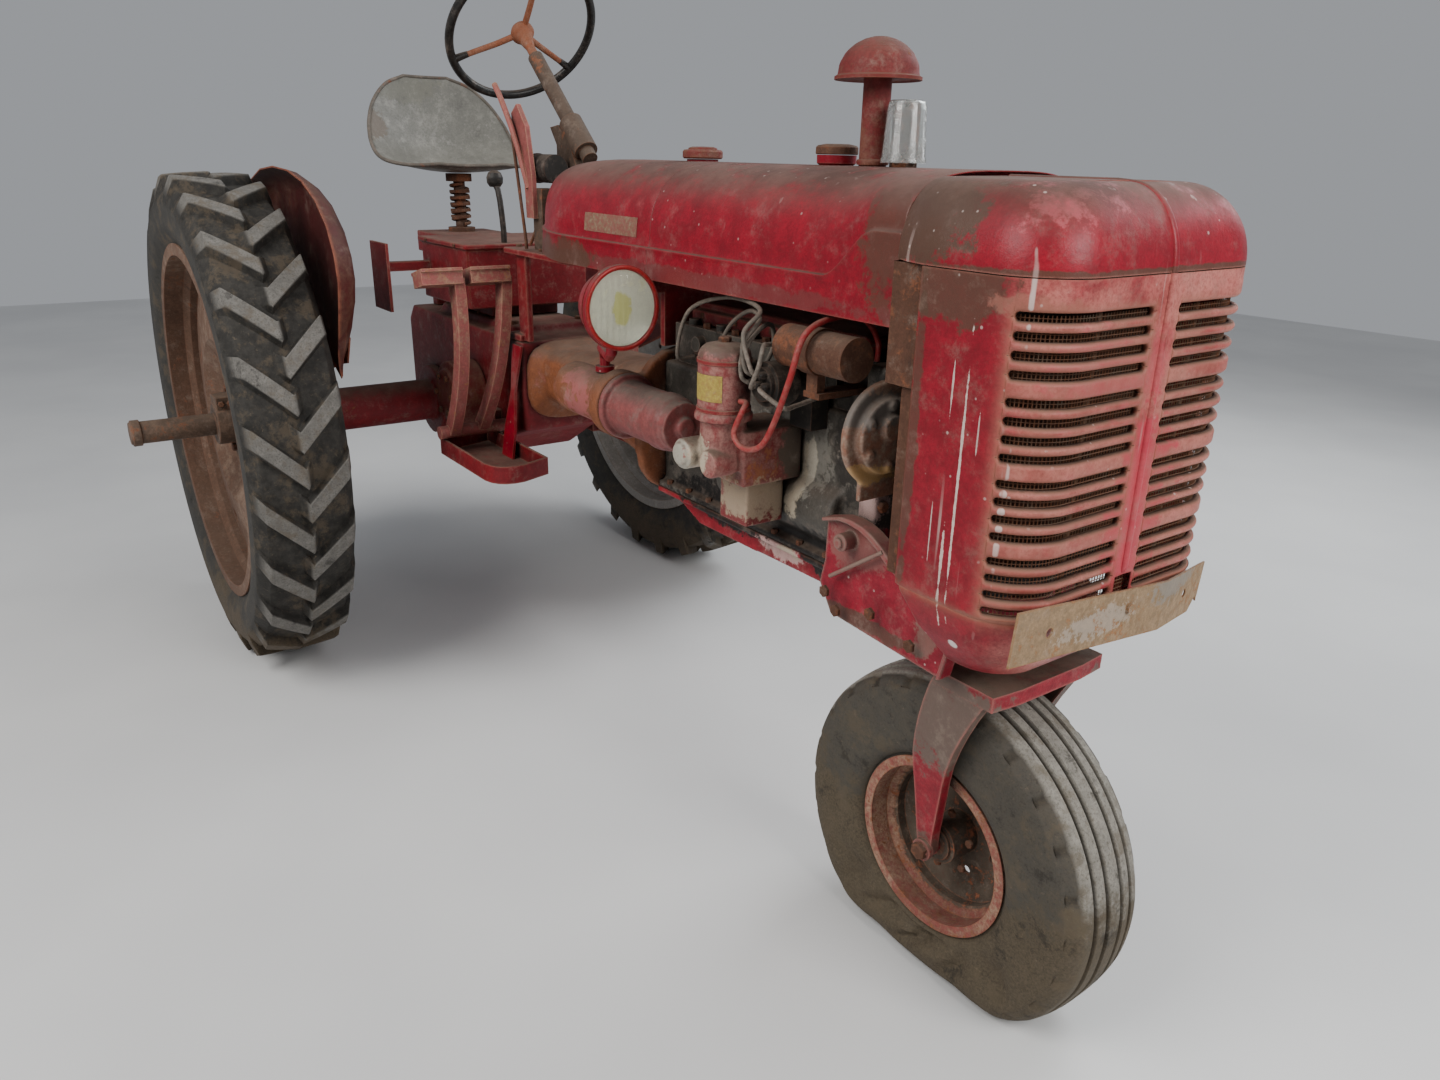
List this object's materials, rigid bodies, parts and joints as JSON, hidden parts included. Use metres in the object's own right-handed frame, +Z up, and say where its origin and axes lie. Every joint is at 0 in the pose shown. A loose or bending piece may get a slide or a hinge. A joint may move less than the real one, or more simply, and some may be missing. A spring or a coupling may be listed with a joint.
{
  "type": "row-crop tractor",
  "caption": "Old row-crop farm tractor with a single front wheel in a fork, tall rear wheels with lugged tyres, a slotted grille, an open engine and a pan seat.",
  "frame": {"origin": "on the floor under the middle of the bounding box", "axes": "X runs forward, Y to the tractor's left, Z up"},
  "size_m": [3.0436, 1.984, 1.8206],
  "materials": {
    "red_paint": "faded red enamel, chalky and dusty",
    "red_iron": "cast iron with worn red paint",
    "rusty_paint": "paint mostly worn to rust",
    "pale_paint": "light grey paint, stained",
    "engine_iron": "grey cast iron, greasy",
    "grey_metal": "grey painted steel",
    "rusty_steel": "bare steel gone rusty",
    "dark_steel": "dark oiled steel",
    "black_plastic": "black moulded, dull",
    "tyre": "dusty black rubber",
    "lamp_glass": "fluted lamp glass",
    "jar_glass": "clear jar, dusty"
  },
  "bodies": {
    "chassis": {"grille_shell": "red_paint", "grille_crown": "red_paint", "radiator": "grey_metal", "fan": "grey_metal", "fan_shroud": "rusty_steel", "hood": "red_paint", "fuel_tank": "red_paint", "tank_support": "red_iron", "fuel_cap": "rusty_steel", "filler_cap": "rusty_steel", "air_stack": "rusty_steel", "exhaust_pipe": "rusty_steel", "rain_jar": "jar_glass", "engine_block": "engine_iron", "cylinder_head": "engine_iron", "valve_cover": "red_paint", "oil_pan": "red_paint", "oil_filter": "red_paint", "distributor": "black_plastic", "ignition_coil": "rusty_steel", "ignition_leads": "black_plastic", "starter": "engine_iron", "governor": "engine_iron", "manifold": "rusty_steel", "carburettor": "grey_metal", "air_cleaner": "red_paint", "generator": "grey_metal", "front_bolster": "red_iron", "clutch_housing": "red_iron", "transmission_case": "red_iron", "axle_housings": "red_iron", "brakes": "red_iron", "foot_platforms": "red_iron", "brake_pedals": "red_iron", "clutch_pedal": "red_iron", "seat_pan": "grey_metal", "seat_post": "dark_steel", "tool_box": "red_paint", "side_panels": "red_paint", "fenders": "rusty_paint", "lamp_bodies": "red_paint", "lamp_glass": "lamp_glass", "support_frame": "red_iron", "shield_plates": "red_paint", "steering_column": "grey_metal", "gauges": "dark_steel", "throttle_lever": "rusty_paint", "gear_lever": "dark_steel", "drawbar": "rusty_steel", "front_plate": "rusty_paint"},
    "fork": {"fork": "red_iron"},
    "front_wheel": {"front_rim": "rusty_paint", "front_tyre": "tyre"},
    "rear_wheel_right": {"rear_rim_right": "rusty_paint", "rear_axle_right": "rusty_steel", "rear_tyre_right": "tyre"},
    "rear_wheel_left": {"rear_rim_left": "pale_paint", "rear_axle_left": "rusty_steel", "rear_tyre_left": "tyre"},
    "steering_wheel": {"steering_wheel": "black_plastic"}
  },
  "joints": [
    {"name": "steer", "type": "hinge", "parent": "chassis", "child": "fork", "pos_m": [1.25, 0, 0.65], "axis": [0, 0, 1], "range_deg": [-55, 55]},
    {"name": "front_roll", "type": "hinge", "parent": "fork", "child": "front_wheel", "pos_m": [1.2, 0, 0.252], "axis": [0, 1, 0], "continuous": true},
    {"name": "rear_roll_right", "type": "hinge", "parent": "chassis", "child": "rear_wheel_right", "pos_m": [-0.862, -0.709, 0.65956], "axis": [0, 1, 0], "continuous": true},
    {"name": "rear_roll_left", "type": "hinge", "parent": "chassis", "child": "rear_wheel_left", "pos_m": [-0.862, 0.709, 0.65956], "axis": [0, 1, 0], "continuous": true},
    {"name": "steering_turn", "type": "hinge", "parent": "chassis", "child": "steering_wheel", "pos_m": [-0.452, 0, 1.667], "axis": [-0.7547, 0, 0.6561], "range_deg": [-450, 450]}
  ],
  "couplings": [
    {"joint": "steering_turn", "follows": "steer", "ratio": 8}
  ]
}
